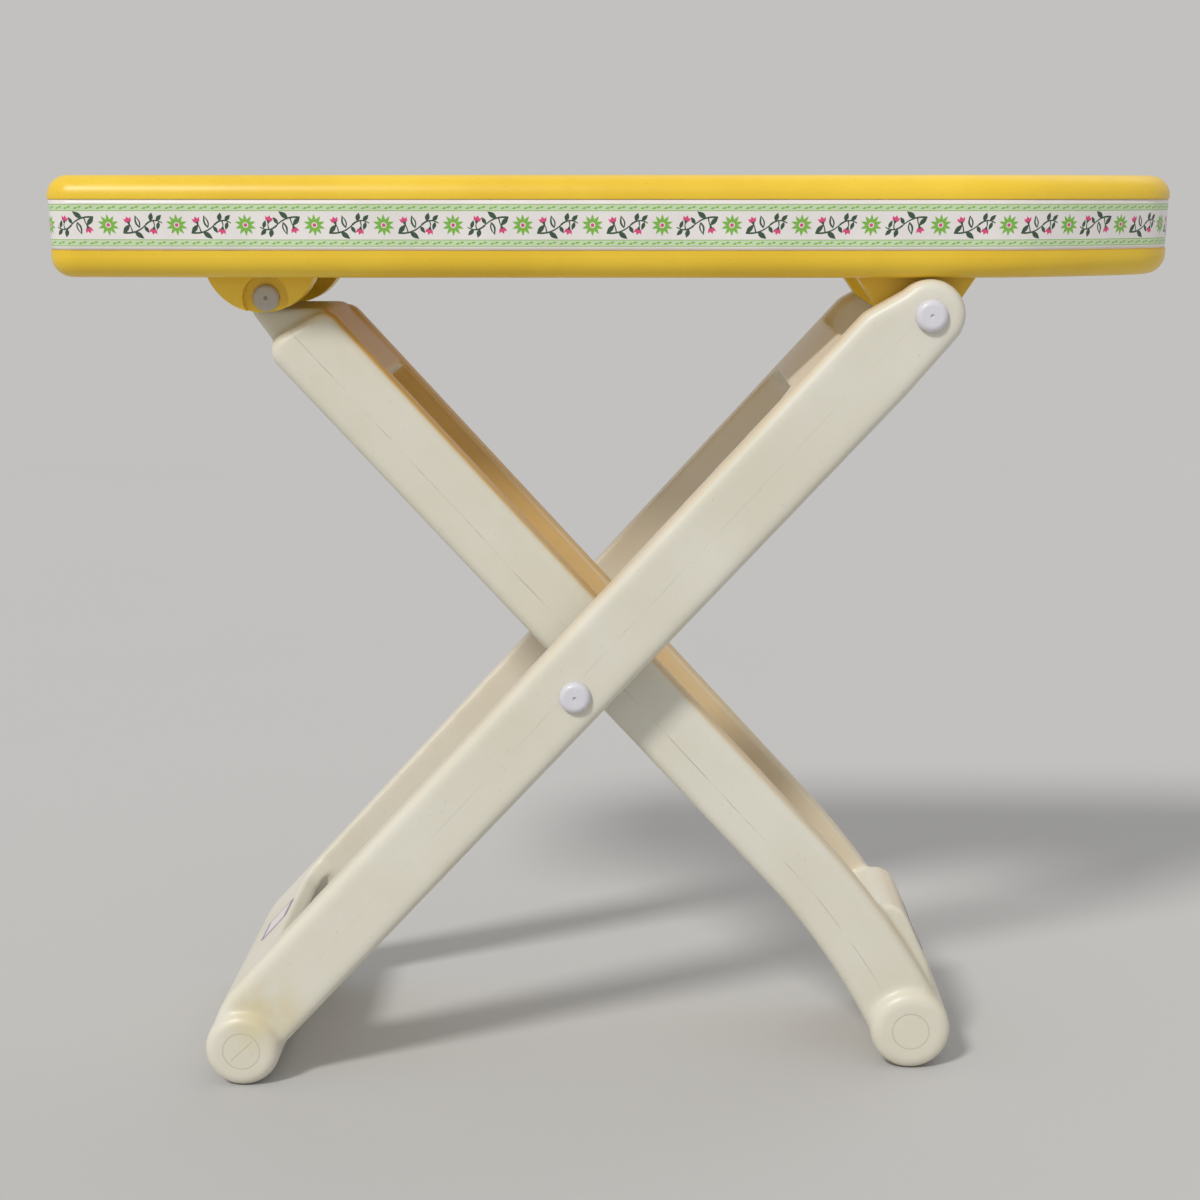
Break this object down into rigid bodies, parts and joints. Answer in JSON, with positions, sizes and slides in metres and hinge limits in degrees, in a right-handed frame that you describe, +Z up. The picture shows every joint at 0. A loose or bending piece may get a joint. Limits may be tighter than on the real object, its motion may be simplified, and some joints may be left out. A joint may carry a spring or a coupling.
{
  "type": "toy ironing board",
  "caption": "Child's toy ironing board: hollow moulded board with a rounded nose on a folding X of two hollow leg frames.",
  "frame": {"origin": "on the floor under the middle of the object's box", "axes": "+X towards the board's nose, +Z up, +Y to the left of someone looking along +X"},
  "size_m": [0.7104, 0.22, 0.585],
  "materials": {
    "yellow_plastic": "satin blow-moulded polyethylene",
    "cream_plastic": "satin aged blow-moulded polyethylene",
    "white_plastic": "satin moulded",
    "printed_label": "printed floral paper strip",
    "blank_tag": "plain sticker"
  },
  "bodies": {
    "board": {"board_shell": "yellow_plastic", "border_label_near": "printed_label", "border_label_far": "printed_label", "cradle_rod": "white_plastic", "cradle_rod_cap": "white_plastic", "hinge_pin_near": "white_plastic", "hinge_pin_far": "white_plastic", "hinge_pin_cap_near": "white_plastic", "hinge_pin_cap_far": "white_plastic"},
    "outer_leg": {"outer_leg": "cream_plastic", "outer_leg_tag": "blank_tag", "pivot_pin_near": "white_plastic", "pivot_pin_far": "white_plastic", "pivot_pin_cap_near": "white_plastic", "pivot_pin_cap_far": "white_plastic"},
    "inner_leg": {"inner_leg": "cream_plastic", "inner_leg_tag": "blank_tag"}
  },
  "joints": [
    {"name": "outer_fold", "type": "hinge", "parent": "board", "child": "outer_leg", "pos_m": [0.1914, 0, 0.5], "axis": [0, 1, 0], "range_deg": [0, 30]},
    {"name": "inner_fold", "type": "hinge", "parent": "outer_leg", "child": "inner_leg", "pos_m": [-0.0278, 0, 0.26], "axis": [0, -1, 0], "range_deg": [0, 74.1]}
  ],
  "couplings": [
    {"joint": "inner_fold", "follows": "outer_fold", "ratio": 2.467}
  ]
}
